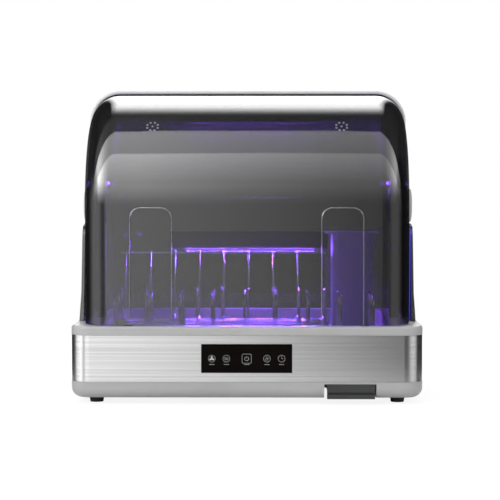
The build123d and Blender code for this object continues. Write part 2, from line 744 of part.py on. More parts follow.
def bent_wire(points, bends, radius, x):
    """Round wire bent in an upright plane at x, through (y, z) points."""
    upright = Plane(origin=(x, 0, 0), x_dir=(0, 1, 0), z_dir=(1, 0, 0))
    path = upright * FilletPolyline(*points, radius=bends)
    section = Plane(origin=path @ 0, z_dir=path % 0) * Circle(radius)
    return sweep(section, path)


def bowl_rack_frame():
    loop = wire_loop(-204, 196, -142, -28, RAIL_Z, 14, RAIL)
    rails = [rod_x(-201.9, 193.9, y, RAIL_Z, RAIL) for y in (-104, -66)]
    return group([loop] + rails)


def bowl_rack_dividers():
    top = 150
    foot = RAIL_Z + RAIL + 0.05
    low = RAIL_Z + RAIL + WIRE + 0.05
    front = ((-141, foot), (-141, top), (-104, top), (-104, low))
    back = ((-66, low), (-66, top), (-29, top), (-29, foot))
    bends = (16, 16, 8, 8, 16, 16)
    return group([bent_wire(front + back, bends, WIRE, BOWL_X0 + BOWL_PITCH * n) for n in range(DIVIDERS)])


def plate_rack_frame():
    loop = wire_loop(-206, 124, 6, 130, RAIL_Z, 14, RAIL)
    rails = [rod_x(-203.9, 121.9, y, RAIL_Z, RAIL) for y in (43, 100)]
    top_rail = rod_x(-206, 124, 130.1, 201, RAIL)
    return group([loop, top_rail] + rails)


def plate_rack_dividers():
    foot = RAIL_Z + RAIL + 0.05
    low = RAIL_Z + RAIL + WIRE + 0.05
    points = ((7, foot), (7, 150), (43, 150), (43, low), (102, low), (126.5, 204))
    bends = (15, 15, 8, 14)
    return group([bent_wire(points, bends, WIRE, PLATE_X0 + PLATE_PITCH * n) for n in range(DIVIDERS)])


def rack_feet(x0, x1, y0, y1):
    """Plastic feet that carry a rack clear of the wet basin."""
    feet = []
    for x in (x0, x1):
        for y in (y0, y1):
            feet.append(rod_z(BASIN_FLOOR + 0.3, RAIL_Z - RAIL - 0.05, x, y, 4.5))
    return group(feet)


def utensil_holder():
    body = Pos(HOLDER_X, HOLDER_Y, 0) * bottom_rounded(rounded_block(31, 29, 9, 84, HOLDER_TOP), 3)
    rim = Pos(HOLDER_X, HOLDER_Y, 0) * rounded_block(41, 35, 12, HOLDER_TOP - 2.5, HOLDER_TOP)
    inner = Pos(HOLDER_X, HOLDER_Y, 0) * rounded_block(29, 27, 7, 86.5, HOLDER_TOP + 1)
    holder = body + rim - inner
    for step in range(-2, 3):
        x = HOLDER_X + 9 * step
        holder -= slab(x - 2, x + 2, HOLDER_Y - 18, HOLDER_Y + 18, 80, 90)
    for x in (HOLDER_X - 20, HOLDER_X + 20):
        for y in (HOLDER_Y - 21, HOLDER_Y + 21):
            holder += rod_z(BASIN_FLOOR + 0.3, 85, x, y, 3)
    return holder


PARTS = {
    "lower_housing": lower_housing(),
    "base_chassis": base_chassis(),
    "steel_band": steel_band(),
    "top_deck": top_deck(),
    "rubber_feet": rubber_feet(),
    "foot_screws": foot_screws(),
    "housing_screws": housing_screws(),
    "cabin_screws": cabin_screws(),
    "touch_panel": touch_panel(),
    "control_board": control_board(),
    "touch_springs": touch_springs(),
    "indicator_lights": indicator_lights(),
    "power_board": power_board(),
    "power_board_parts": power_board_parts(),
    "uv_ballast": uv_ballast(),
    "mains_inlet": mains_inlet(),
    "inlet_pins": inlet_pins(),
    "blower_housing": blower_housing(),
    "blower_rotor": blower_rotor(),
    "motor_shaft": motor_shaft(),
    "blower_motor": blower_motor(),
    "ptc_frame": ptc_frame(),
    "ptc_fins": ptc_fins(),
    "air_duct": air_duct(),
    "outlet_grille": outlet_grille(),
    "drain_strainer": drain_strainer(),
    "drip_tray": drip_tray(),
    "drawer_front": drawer_front(),
    "drawer_rail_left": drawer_rail(-1),
    "drawer_rail_right": drawer_rail(1),
    "rear_shell": rear_shell(),
    "front_cover": front_cover(),
    "side_panel_left": side_panel(-1),
    "side_panel_right": side_panel(1),
    "hinge_post_left": hinge_post(-1),
    "hinge_post_right": hinge_post(1),
    "hinge_pin_left": hinge_pin(-1),
    "hinge_pin_right": hinge_pin(1),
    "hinge_bush_left": hinge_bush(-1),
    "hinge_bush_right": hinge_bush(1),
    "hinge_washers": hinge_washers(),
    "pivot_cap_left": pivot_cap(-1),
    "pivot_cap_right": pivot_cap(1),
    "cover_bumpers": cover_bumpers(),
    "cover_magnet": cover_magnet(),
    "reed_switch": reed_switch(),
    "lamp_housing": lamp_housing(),
    "uv_lamp_tube": uv_lamp_tube(),
    "lamp_end_caps": lamp_end_caps(),
    "lamp_holders": lamp_holders(),
    "lamp_guard": lamp_guard(),
    "uv_lights": uv_lights(),
    "bowl_rack_frame": bowl_rack_frame(),
    "bowl_rack_dividers": bowl_rack_dividers(),
    "bowl_rack_feet": rack_feet(-196, 188, -141, -29),
    "plate_rack_frame": plate_rack_frame(),
    "plate_rack_dividers": plate_rack_dividers(),
    "plate_rack_feet": rack_feet(-196, 112, 7, 129),
    "utensil_holder": utensil_holder(),
}

for name, shape in PARTS.items():
    export_step(Pos(0, 0, TABLE_DROP) * shape, f"parts/{name}.step")
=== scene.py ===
import math

import bpy
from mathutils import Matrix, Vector


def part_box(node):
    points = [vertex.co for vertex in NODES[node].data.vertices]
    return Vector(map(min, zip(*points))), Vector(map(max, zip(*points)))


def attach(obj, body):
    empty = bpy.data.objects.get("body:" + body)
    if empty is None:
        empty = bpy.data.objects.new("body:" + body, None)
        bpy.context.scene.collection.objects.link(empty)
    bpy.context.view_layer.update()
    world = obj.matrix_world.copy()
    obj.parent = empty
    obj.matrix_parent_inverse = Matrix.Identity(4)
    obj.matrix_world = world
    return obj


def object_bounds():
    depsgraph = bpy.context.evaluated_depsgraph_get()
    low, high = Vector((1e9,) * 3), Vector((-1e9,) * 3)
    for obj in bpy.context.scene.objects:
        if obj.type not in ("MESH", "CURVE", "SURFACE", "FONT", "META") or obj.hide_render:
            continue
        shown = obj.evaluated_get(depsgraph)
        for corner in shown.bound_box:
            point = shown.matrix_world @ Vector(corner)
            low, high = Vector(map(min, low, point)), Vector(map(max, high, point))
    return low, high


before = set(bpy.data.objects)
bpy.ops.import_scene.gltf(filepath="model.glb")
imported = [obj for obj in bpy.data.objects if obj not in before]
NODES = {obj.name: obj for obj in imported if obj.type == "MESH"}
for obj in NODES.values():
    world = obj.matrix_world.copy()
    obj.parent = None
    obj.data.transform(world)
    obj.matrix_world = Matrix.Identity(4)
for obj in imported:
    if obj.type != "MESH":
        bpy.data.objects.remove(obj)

CAD_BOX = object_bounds()
MM = 0.001

# ---- camera, from the photograph ----
PHOTO_PX = 500.0
FOCAL_PX = 1612.0
HORIZON_PX = 182.0
FRONT_DISTANCE = 2.300
EYE_HEIGHT = 0.3194
EYE_SIDE = 0.025
EYE_TURN = 0.0088
SENSOR = 36.0


# ------------------------------------------------------------------ node helpers
class Tree:
    """Small helper that adds and links shader nodes."""

    def __init__(self, tree):
        self.tree = tree
        self.tree.nodes.clear()

    def add(self, kind, **settings):
        node = self.tree.nodes.new(kind)
        for name, value in settings.items():
            setattr(node, name, value)
        return node

    def link(self, output, target):
        self.tree.links.new(output, target)

    def math(self, operation, first, second=None, clamp=False):
        node = self.add("ShaderNodeMath", operation=operation, use_clamp=clamp)
        for socket, value in zip(node.inputs, (first, second)):
            if value is None:
                continue
            if isinstance(value, (int, float)):
                socket.default_value = value
            else:
                self.link(value, socket)
        return node.outputs[0]

    def ramp(self, factor, stops):
        """Colour ramp; stops are (position, grey or colour)."""
        node = self.add("ShaderNodeValToRGB")
        elements = node.color_ramp.elements
        while len(elements) < len(stops):
            elements.new(0.5)
        for element, (position, value) in zip(elements, stops):
            element.position = position
            colour = (value, value, value) if isinstance(value, (int, float)) else value
            element.color = (*colour, 1.0)
        self.link(factor, node.inputs[0])
        return node.outputs[0]

    def curve(self, value, stops):
        """Level read off a line through (value, level) stops; levels may be above one."""
        low, high = stops[0][0], stops[-1][0]
        peak = max(level for _, level in stops)
        place = self.math("DIVIDE", self.math("SUBTRACT", value, low), high - low, clamp=True)
        scaled = [((at - low) / (high - low), level / peak) for at, level in stops]
        return self.math("MULTIPLY", self.ramp(place, scaled), peak)

    def noise(self, scale, stretch=(1, 1, 1), detail=3.0, rough=0.5):
        """Noise in the object's own coordinates, in metres."""
        place = self.add("ShaderNodeTexCoord")
        mapping = self.add("ShaderNodeMapping")
        mapping.inputs["Scale"].default_value = stretch
        self.link(place.outputs["Object"], mapping.inputs["Vector"])
        node = self.add("ShaderNodeTexNoise")
        node.inputs["Scale"].default_value = scale
        node.inputs["Detail"].default_value = detail
        node.inputs["Roughness"].default_value = rough
        self.link(mapping.outputs[0], node.inputs["Vector"])
        return node.outputs["Fac"]

    def bump(self, height, strength, distance):
        node = self.add("ShaderNodeBump")
        node.inputs["Strength"].default_value = strength
        node.inputs["Distance"].default_value = distance
        self.link(height, node.inputs["Height"])
        return node.outputs[0]


def new_material(name):
    material = bpy.data.materials.new(name)
    material.use_nodes = True
    return material, Tree(material.node_tree)


def finish_material(tree, shader):
    output = tree.add("ShaderNodeOutputMaterial")
    tree.link(shader, output.inputs["Surface"])


def principled(tree, **values):
    node = tree.add("ShaderNodeBsdfPrincipled")
    for name, value in values.items():
        socket = node.inputs[name.replace("_", " ")]
        if hasattr(value, "is_linked"):
            tree.link(value, socket)
        else:
            socket.default_value = value
    return node


def tinted(tree, factor, dark, light):
    return tree.ramp(factor, [(0.3, dark), (0.7, light)])


# ------------------------------------------------------------------ materials
def moulded_plastic(name, dark, light, rough, grain=900.0, bump=0.12, shine=0.5):
    """Moulded plastic: faint colour drift, fine grain and uneven gloss."""
    material, t = new_material(name)
    drift = t.noise(14.0, detail=2.0)
    fine = t.noise(grain, detail=2.0)
    node = principled(
        t,
        Base_Color=tinted(t, drift, dark, light),
        Roughness=t.ramp(t.noise(60.0), [(0.3, rough - 0.04), (0.7, rough + 0.05)]),
        Normal=t.bump(fine, bump, 0.00008),
    )
    node.inputs["Specular IOR Level"].default_value = shine
    finish_material(t, node.outputs[0])
    return material


def brushed_steel():
    """Stainless sheet with long level brush lines."""
    material, t = new_material("brushed_steel_sheet")
    lines = t.noise(1.0, stretch=(2.5, 2.5, 1500.0), detail=4.0, rough=0.65)
    broad = t.noise(1.0, stretch=(1.5, 1.5, 420.0), detail=3.0)
    mixed = t.math("ADD", t.math("MULTIPLY", lines, 0.5), t.math("MULTIPLY", broad, 0.5))
    tangent = t.add("ShaderNodeTangent", direction_type="RADIAL", axis="Z")
    node = principled(
        t,
        Base_Color=t.ramp(mixed, [(0.36, 0.52), (0.64, 0.70)]),
        Metallic=1.0,
        Roughness=t.ramp(mixed, [(0.3, 0.26), (0.7, 0.20)]),
        Normal=t.bump(lines, 0.06, 0.00005),
    )
    node.inputs["Anisotropic"].default_value = 0.85
    node.inputs["Anisotropic Rotation"].default_value = 0.25
    t.link(tangent.outputs[0], node.inputs["Tangent"])
    finish_material(t, node.outputs[0])
    return material


def plain_metal(name, dark, light, rough):
    material, t = new_material(name)
    drift = t.noise(120.0)
    node = principled(
        t,
        Base_Color=tinted(t, drift, dark, light),
        Metallic=1.0,
        Roughness=t.ramp(drift, [(0.3, rough - 0.05), (0.7, rough + 0.08)]),
        Normal=t.bump(t.noise(500.0), 0.05, 0.00005),
    )
    finish_material(t, node.outputs[0])
    return material


# what a smoked wall still lets through at a slant: (slant, share of the face-on level), then a last level
SLANT_FALL = ((0.5, 0.90), (0.75, 0.72), (0.9, 0.5), (0.97, 0.22))
SLANT_END = 0.03
GRAZING_GLOSS = 0.9


def smoked_plastic(name, clear, gloss=0.08, rough=0.0):
    """See-through smoked wall; clear is what one wall lets through face on, less at a slant."""
    material, t = new_material(name)
    facing = t.add("ShaderNodeLayerWeight")
    facing.inputs["Blend"].default_value = 0.5
    slant = facing.outputs["Facing"]
    face = math.sqrt(clear)
    fall = [(at, face * share) for at, share in SLANT_FALL]
    through = t.ramp(slant, [(0.0, face), *fall, (1.0, SLANT_END)])
    drift = t.ramp(t.noise(5.0, detail=1.0), [(0.3, 0.97), (0.7, 1.0)])
    tint = t.add("ShaderNodeMix", data_type="RGBA", blend_type="MULTIPLY")
    tint.inputs[0].default_value = 1.0
    t.link(through, tint.inputs[6])
    t.link(drift, tint.inputs[7])
    film = t.add("ShaderNodeBsdfTransparent")
    t.link(tint.outputs[2], film.inputs["Color"])
    mirror = t.add("ShaderNodeBsdfGlossy")
    mirror.inputs["Roughness"].default_value = rough
    grazing = t.math("POWER", slant, 5.0)
    share = t.math("ADD", t.math("MULTIPLY", grazing, GRAZING_GLOSS - gloss), gloss, clamp=True)
    mix = t.add("ShaderNodeMixShader")
    t.link(share, mix.inputs[0])
    t.link(film.outputs[0], mix.inputs[1])
    t.link(mirror.outputs[0], mix.inputs[2])
    finish_material(t, mix.outputs[0])
    return material


def frosted_plastic(name, colour, see_through):
    """Cloudy moulding that glows with the light that falls on it from any side."""
    material, t = new_material(name)
    tone = tinted(t, t.noise(30.0), tuple(c * 0.92 for c in colour), colour)
    skin = principled(t, Base_Color=tone, Roughness=0.35)
    glow = t.add("ShaderNodeBsdfTranslucent")
    t.link(tone, glow.inputs["Color"])
    body = t.add("ShaderNodeMixShader")
    body.inputs[0].default_value = 0.5
    t.link(skin.outputs[0], body.inputs[1])
    t.link(glow.outputs[0], body.inputs[2])
    film = t.add("ShaderNodeBsdfTransparent")
    mix = t.add("ShaderNodeMixShader")
    mix.inputs[0].default_value = see_through
    t.link(body.outputs[0], mix.inputs[1])
    t.link(film.outputs[0], mix.inputs[2])
    finish_material(t, mix.outputs[0])
    return material


def glowing(name, colour, strength):
    """Glowing surface, for the lit lamps and for the painted violet reflection strip: brightest face on,
    dimmer along the edge of its glass.
    """
    material, t = new_material(name)
    facing = t.add("ShaderNodeLayerWeight")
    facing.inputs["Blend"].default_value = 0.35
    edge = tuple(c * 0.5 for c in colour)
    tint = t.ramp(facing.outputs["Facing"], [(0.0, colour), (1.0, edge)])
    node = principled(t, Base_Color=t.ramp(t.noise(80.0), [(0.3, colour), (0.7, edge)]), Roughness=0.25)
    t.link(tint, node.inputs["Emission Color"])
    node.inputs["Emission Strength"].default_value = strength
    finish_material(t, node.outputs[0])
    return material


LIT_VIOLET = (0.30, 0.12, 1.0)


def make_materials():
    silver = moulded_plastic("satin_silver_plastic", 0.37, 0.41, 0.36, shine=0.35)
    dark = moulded_plastic("dark_grey_plastic", (0.02, 0.02, 0.021), (0.032, 0.032, 0.034), 0.42, shine=0.3)
    drawer = moulded_plastic("drawer_grey_plastic", 0.034, (0.046, 0.046, 0.047), 0.5, shine=0.25)
    rubber = moulded_plastic("black_rubber", 0.014, 0.026, 0.75, grain=1500.0, bump=0.3)
    nylon = moulded_plastic("white_nylon", (0.62, 0.62, 0.60), (0.72, 0.72, 0.70), 0.45)
    board = moulded_plastic("circuit_board", (0.02, 0.11, 0.045), (0.04, 0.17, 0.07), 0.35, grain=300.0)
    parts = moulded_plastic("board_parts", (0.05, 0.05, 0.055), (0.11, 0.11, 0.12), 0.4)
    black, warm_black = (0.003, 0.0022, 0.002), (0.0045, 0.0035, 0.003)
    panel = moulded_plastic("black_panel_glass", black, warm_black, 0.09, bump=0.0, shine=0.025)
    zinc = plain_metal("zinc_steel", (0.42, 0.43, 0.45), (0.55, 0.56, 0.58), 0.35)
    chrome = plain_metal("polished_wire", (0.60, 0.60, 0.62), (0.72, 0.72, 0.74), 0.16)
    guard = plain_metal("dull_guard_wire", (0.16, 0.16, 0.17), (0.22, 0.22, 0.23), 0.45)
    fins = plain_metal("bright_aluminium", (0.62, 0.63, 0.65), (0.74, 0.75, 0.77), 0.28)
    steel = brushed_steel()
    hood = smoked_plastic("smoked_cover", 0.33)
    rear = smoked_plastic("smoked_rear_shell", 0.09)
    ear = smoked_plastic("smoked_side_panel", 0.12)
    basket = frosted_plastic("frosted_basket", (0.62, 0.60, 0.66), 0.30)
    tube = glowing("lit_uv_tube", LIT_VIOLET, 1.8)
    bead = glowing("lit_uv_bead", LIT_VIOLET, 1.6)
    key_light = glowing("key_light_lens", (0.9, 0.9, 0.9), 0.2)
    return {
        "lower_housing": silver, "top_deck": silver, "outlet_grille": silver,
        "base_chassis": dark, "steel_band": steel, "rubber_feet": rubber,
        "foot_screws": zinc, "housing_screws": zinc, "cabin_screws": zinc,
        "touch_panel": panel, "control_board": board, "touch_springs": zinc,
        "indicator_lights": key_light, "power_board": board, "power_board_parts": parts,
        "uv_ballast": parts, "mains_inlet": dark, "inlet_pins": zinc,
        "blower_housing": dark, "blower_rotor": dark, "motor_shaft": zinc, "blower_motor": zinc,
        "ptc_frame": dark, "ptc_fins": fins, "air_duct": dark, "drain_strainer": zinc,
        "drip_tray": drawer, "drawer_front": drawer, "drawer_rail_left": dark, "drawer_rail_right": dark,
        "rear_shell": rear, "front_cover": hood, "side_panel_left": ear, "side_panel_right": ear,
        "hinge_post_left": dark, "hinge_post_right": dark,
        "hinge_pin_left": zinc, "hinge_pin_right": zinc,
        "hinge_bush_left": nylon, "hinge_bush_right": nylon, "hinge_washers": rubber,
        "pivot_cap_left": silver, "pivot_cap_right": silver, "cover_bumpers": rubber,
        "cover_magnet": zinc, "reed_switch": nylon, "lamp_housing": dark, "uv_lamp_tube": tube,
        "lamp_end_caps": fins, "lamp_holders": nylon, "lamp_guard": guard, "uv_lights": bead,
        "bowl_rack_frame": chrome, "bowl_rack_dividers": chrome, "bowl_rack_feet": rubber,
        "plate_rack_frame": chrome, "plate_rack_dividers": chrome, "plate_rack_feet": rubber,
        "utensil_holder": basket,
    }


def dress(node, material):
    obj = NODES[node]
    obj.data.materials.clear()
    obj.data.materials.append(material)


# ------------------------------------------------------------------ added pieces
def new_object(name, vertices, faces, material, smooth=True):
    mesh = bpy.data.meshes.new(name)
    mesh.from_pydata(vertices, [], faces)
    mesh.validate()
    for polygon in mesh.polygons:
        polygon.use_smooth = smooth
    obj = bpy.data.objects.new(name, mesh)
    bpy.context.scene.collection.objects.link(obj)
    mesh.materials.append(material)
    return obj


def add_mesh(name, vertices, faces, material, body, smooth=True):
    """Piece that rides on a CAD body, with the material it is given."""
    obj = new_object(name, vertices, faces, material, smooth)
    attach(obj, body)


# ------------------------------------------------------------------ touch panel symbols
STROKE = 0.28 * MM
BOLD_STROKE = STROKE * 1.3
PROUD = 0.10 * MM
ICON_RING = 4.9 * MM
KEY_X = (-50.0, -29.0, 0.0, 29.0, 50.0)
KEY_LOW = 20.4 * MM
LABEL_LOW = 12.0 * MM
OVAL_POINTS = 16
OVAL_CORE = 0.02


class Symbol:
    """Flat raised line drawing on the front face of the touch panel."""

    def __init__(self, centre_x, centre_z):
        self.x = centre_x
        self.z = centre_z
        self.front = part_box("touch_panel")[0].y
        self.vertices = []
        self.faces = []

    def quad_strip(self, inner, outer, closed):
        """Prism between two lines of (u, v) points, raised from the glass."""
        start = len(self.vertices)
        count = len(inner)
        for depth in (self.front - PROUD, self.front + PROUD):
            for line in (inner, outer):
                self.vertices += [(self.x + u, depth, self.z + v) for u, v in line]
        rows = [start + count * k for k in range(4)]
        near_in, near_out, far_in, far_out = rows
        spans = count if closed else count - 1
        for k in range(spans):
            n = (k + 1) % count
            self.faces.append((near_in + k, near_in + n, near_out + n, near_out + k))
            self.faces.append((far_in + n, far_in + k, far_out + k, far_out + n))
            self.faces.append((near_in + n, near_in + k, far_in + k, far_in + n))
            self.faces.append((near_out + k, near_out + n, far_out + n, far_out + k))
        if not closed:
            for k in (0, count - 1):
                ring = (near_in + k, near_out + k, far_out + k, far_in + k)
                self.faces.append(ring if k == 0 else ring[::-1])

    def arc(self, radius, start=0.0, stop=360.0, u=0.0, v=0.0, width=STROKE):
        closed = abs(stop - start) >= 360.0
        steps = max(8, int(abs(stop - start) / 10))
        count = steps if closed else steps + 1
        angles = [math.radians(start + (stop - start) * k / steps) for k in range(count)]
        lines = []
        for r in (radius - width / 2, radius + width / 2):
            lines.append([(u + r * math.cos(a), v + r * math.sin(a)) for a in angles])
        self.quad_strip(lines[0], lines[1], closed)

    def line(self, points, width=STROKE):
        """Open stroke through (u, v) points."""
        left, right = [], []
        last = len(points) - 1
        for k, (u, v) in enumerate(points):
            before = points[max(0, k - 1)]
            after = points[min(last, k + 1)]
            du, dv = after[0] - before[0], after[1] - before[1]
            size = math.hypot(du, dv) or 1.0
            nu, nv = -dv / size * width / 2, du / size * width / 2
            left.append((u - nu, v - nv))
            right.append((u + nu, v + nv))
        self.quad_strip(left, right, False)

    def disc(self, u, v, radius_u, radius_v, tilt=0.0):
        """Filled oval."""
        inner, outer = [], []
        for k in range(OVAL_POINTS):
            a = math.radians(360 / OVAL_POINTS * k)
            pu, pv = radius_u * math.cos(a), radius_v * math.sin(a)
            ru = pu * math.cos(tilt) - pv * math.sin(tilt)
            rv = pu * math.sin(tilt) + pv * math.cos(tilt)
            inner.append((u + ru * OVAL_CORE, v + rv * OVAL_CORE))
            outer.append((u + ru, v + rv))
        self.quad_strip(inner, outer, True)

    def build(self, name, material):
        obj = new_object(name, self.vertices, self.faces, material, smooth=False)
        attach(obj, "base")


def ink(name):
    """Pale grey printed ink that lets a little light through."""
    material, t = new_material(name)
    tone = tinted(t, t.noise(900.0), (0.46, 0.46, 0.47), (0.60, 0.60, 0.61))
    node = principled(t, Base_Color=tone, Roughness=0.4)
    t.link(tone, node.inputs["Emission Color"])
    node.inputs["Emission Strength"].default_value = 0.12
    finish_material(t, node.outputs[0])
    return material


BLADES = 3
BLADE_OUT = 1.9 * MM
BLADE_LONG = 1.7 * MM
BLADE_WIDE = 1.1 * MM


def fan_symbol(symbol):
    symbol.arc(ICON_RING)
    for blade in range(BLADES):
        a = math.radians(90 + 360 / BLADES * blade)
        symbol.disc(BLADE_OUT * math.cos(a), BLADE_OUT * math.sin(a), BLADE_LONG, BLADE_WIDE, a)


WAVE_ROWS = (-1.2 * MM, 0.9 * MM)
WAVE_START = -3.0 * MM
WAVE_STEP = 0.5 * MM
WAVE_HIGH = 0.8 * MM
WAVE_POINTS = 13


def heat_symbol(symbol):
    symbol.arc(ICON_RING)
    for row in WAVE_ROWS:
        points = [
            (WAVE_START + WAVE_STEP * k, row + WAVE_HIGH * math.sin(k * math.pi / 3))
            for k in range(WAVE_POINTS)
        ]
        symbol.line(points)


SQUARE_HALF = 6.6 * MM
SQUARE_CORNER = 1.4 * MM
POWER_ARC = 2.9 * MM
POWER_TURN = (125, 415)
POWER_BAR = (0.6 * MM, 3.9 * MM)
CORNER_STEPS = 4


def power_symbol(symbol):
    """Switch sign in a square with round corners."""
    inner, outer = [], []
    straight = SQUARE_HALF - SQUARE_CORNER
    for quarter, (cu, cv) in enumerate(((1, 1), (-1, 1), (-1, -1), (1, -1))):
        for step in range(CORNER_STEPS + 1):
            a = math.radians(90 * (quarter + step / CORNER_STEPS))
            for line, grow in ((inner, -STROKE / 2), (outer, STROKE / 2)):
                r = SQUARE_CORNER + grow
                line.append((cu * straight + r * math.cos(a), cv * straight + r * math.sin(a)))
    symbol.quad_strip(inner, outer, True)
    symbol.arc(POWER_ARC, *POWER_TURN, width=BOLD_STROKE)
    symbol.line([(0, v) for v in POWER_BAR], BOLD_STROKE)


BULB = 1.6 * MM
BULB_SHIFT = -0.6 * MM
RAY_ANGLES = (10, 45, 80)
RAY_ENDS = (2.6 * MM, 3.8 * MM)


def lamp_symbol(symbol):
    symbol.arc(ICON_RING)
    symbol.arc(BULB, u=BULB_SHIFT, v=BULB_SHIFT)
    for angle in RAY_ANGLES:
        a = math.radians(angle)
        symbol.line([(r * math.cos(a) + BULB_SHIFT, r * math.sin(a) + BULB_SHIFT) for r in RAY_ENDS])


MINUTE_HAND = 3.2 * MM
HOUR_HAND = 2.4 * MM


def clock_symbol(symbol):
    symbol.arc(ICON_RING)
    symbol.line([(0, MINUTE_HAND), (0, 0), (HOUR_HAND, 0)])


DASH_PITCH = 2.6 * MM
DASH_HALF = 0.9 * MM
DASH_STROKE = 0.5 * MM


def panel_symbols():
    """A symbol over each key and three plain dashes under it."""
    material = ink("panel_ink")
    panel_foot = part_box("touch_panel")[0].z
    drawings = (fan_symbol, heat_symbol, power_symbol, lamp_symbol, clock_symbol)
    for x, draw in zip(KEY_X, drawings):
        symbol = Symbol(x * MM, panel_foot + KEY_LOW)
        draw(symbol)
        symbol.build("panel_" + draw.__name__, material)
    dashes = Symbol(0.0, panel_foot + LABEL_LOW)
    for x in KEY_X:
        for step in (-1, 0, 1):
            middle = x * MM + DASH_PITCH * step
            dashes.line([(middle - DASH_HALF, 0), (middle + DASH_HALF, 0)], DASH_STROKE)
    dashes.build("panel_key_dashes", material)


# ------------------------------------------------------------------ trim on the see-through walls
HOOP_STEPS = 14


def hoop(half, top, corner, foot):
    """Points of an upside-down U seen from the front, from the left foot to the right foot."""
    points = [(-half, foot)]
    for middle, start in ((-half + corner, 180), (half - corner, 90)):
        for k in range(HOOP_STEPS + 1):
            a = math.radians(start - 90 * k / HOOP_STEPS)
            points.append((middle + corner * math.cos(a), top - corner + corner * math.sin(a)))
    points.append((half, foot))
    return points


def flat_hoop(name, outer, inner, near, far, material, body):
    """Flat band between two hoops, with some depth."""
    count = len(outer)
    vertices = []
    for depth in (near, far):
        for line in (outer, inner):
            vertices += [(x, depth, z) for x, z in line]
    faces = []
    for k in range(count - 1):
        a, b, c, d = (k + count * row for row in range(4))
        faces += [(a, b, b + 1, a + 1), (c, c + 1, d + 1, d), (a, a + 1, c + 1, c), (b, d, d + 1, b + 1)]
    for k in (0, count - 1):
        faces.append((k, k + 2 * count, k + 3 * count, k + count))
    add_mesh(name, vertices, faces, material, body)


BEAD_SIDES = 8


def round_bead(name, path, radius, material, body):
    """Thin round bead along a line of points that lies in a plane facing the front."""
    vertices, faces = [], []
    last = len(path) - 1
    for k, point in enumerate(path):
        along = (Vector(path[min(last, k + 1)]) - Vector(path[max(0, k - 1)])).normalized()
        across = along.cross(Vector((0, -1, 0))).normalized()
        out = across.cross(along).normalized()
        for side in range(BEAD_SIDES):
            a = 2 * math.pi * side / BEAD_SIDES
            vertices.append(Vector(point) + across * radius * math.cos(a) + out * radius * math.sin(a))
    for k in range(last):
        here, there = BEAD_SIDES * k, BEAD_SIDES * (k + 1)
        for side in range(BEAD_SIDES):
            n = (side + 1) % BEAD_SIDES
            faces.append((here + side, here + n, there + n, there + side))
    add_mesh(name, vertices, faces, material, body)


def pivot_place():
    """Middle of the left pivot cap, on the line that the cover turns about."""
    low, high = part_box("pivot_cap_left")
    return (low + high) / 2


RIM_BAND_LIP = 4.6 * MM
RIM_BAND_DEPTH = 0.6 * MM
RIM_BAND_GAP = 0.05 * MM
SHELL_ROUND = 46.0 * MM


def rim_highlight_band(material):
    """Light grey band along the front rim of the rear shell; its colour is a painted highlight standing in
    for the bright grazing reflection on that rim.
    """
    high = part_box("rear_shell")[1]
    pivot = pivot_place()
    near, far = pivot.y - RIM_BAND_DEPTH, pivot.y - RIM_BAND_GAP
    outer = hoop(high.x, high.z, SHELL_ROUND, pivot.z)
    inner = hoop(high.x - RIM_BAND_LIP, high.z - RIM_BAND_LIP, SHELL_ROUND - RIM_BAND_LIP, pivot.z)
    flat_hoop("shell_seal_band", outer, inner, near, far, material, "base")


ARCH_X = 137.6 * MM
ARCH_HALF = 30.0 * MM
ARCH_CORNER = 16.0 * MM
ARCH_TOP = 282.6 * MM
ARCH_FOOT = 1.0 * MM
BEAD_RADIUS = 0.8 * MM


def arch_beads(material):
    """Moulded line round each pressed arch of the front cover."""
    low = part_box("front_cover")[0]
    for side, name in ((-1, "left"), (1, "right")):
        line = hoop(ARCH_HALF, ARCH_TOP, ARCH_CORNER, low.z + ARCH_FOOT)
        path = [(side * ARCH_X + x, low.y, z) for x, z in line]
        round_bead("arch_bead_" + name, path, BEAD_RADIUS, material, "cover")


COVER_RADIUS = 168.0 * MM
ROSETTE_RING = 8.2 * MM
ROSETTE_ANGLE = math.radians(44.0)
ROSETTE_HOLES = 8
RIM_RADIUS = 1.15 * MM
RIM_THICK = 0.32 * MM
RIM_STEPS = 14
RIM_SIDES = 6


def rosette_spots():
    """Middle of a rosette and its ring of holes, flat on the cover."""
    spots = [(0.0, 0.0)]
    for k in range(ROSETTE_HOLES):
        a = math.radians(360 / ROSETTE_HOLES * (k + 0.5))
        spots.append((ROSETTE_RING * math.cos(a), ROSETTE_RING * math.sin(a)))
    return spots


def rosette_rims(material):
    """Raised rim round each small vent hole near the top of the cover."""
    pivot = pivot_place()
    out = Vector((0, -math.cos(ROSETTE_ANGLE), math.sin(ROSETTE_ANGLE)))
    up = Vector((0, math.sin(ROSETTE_ANGLE), math.cos(ROSETTE_ANGLE)))
    across = Vector((1, 0, 0))
    vertices, faces = [], []
    for side in (-1, 1):
        centre = Vector((side * ARCH_X, pivot.y, pivot.z)) + out * COVER_RADIUS
        for u, v in rosette_spots():
            start = len(vertices)
            sag = COVER_RADIUS - math.sqrt(COVER_RADIUS ** 2 - v ** 2)
            hole = centre + across * u + up * v - out * sag
            for step in range(RIM_STEPS):
                a = 2 * math.pi * step / RIM_STEPS
                spoke = across * math.cos(a) + up * math.sin(a)
                for turn in range(RIM_SIDES):
                    b = 2 * math.pi * turn / RIM_SIDES
                    rise = out * RIM_THICK * math.sin(b)
                    vertices.append(hole + spoke * (RIM_RADIUS + RIM_THICK * math.cos(b)) + rise)
            for step in range(RIM_STEPS):
                here = start + RIM_SIDES * step
                there = start + RIM_SIDES * ((step + 1) % RIM_STEPS)
                for turn in range(RIM_SIDES):
                    n = (turn + 1) % RIM_SIDES
                    faces.append((here + turn, here + n, there + n, there + turn))
    add_mesh("cover_vent_rims", vertices, faces, material, "cover")


GLOW_GAP = 0.1 * MM
GLOW_INSETS = (6.0 * MM, 9.0 * MM)
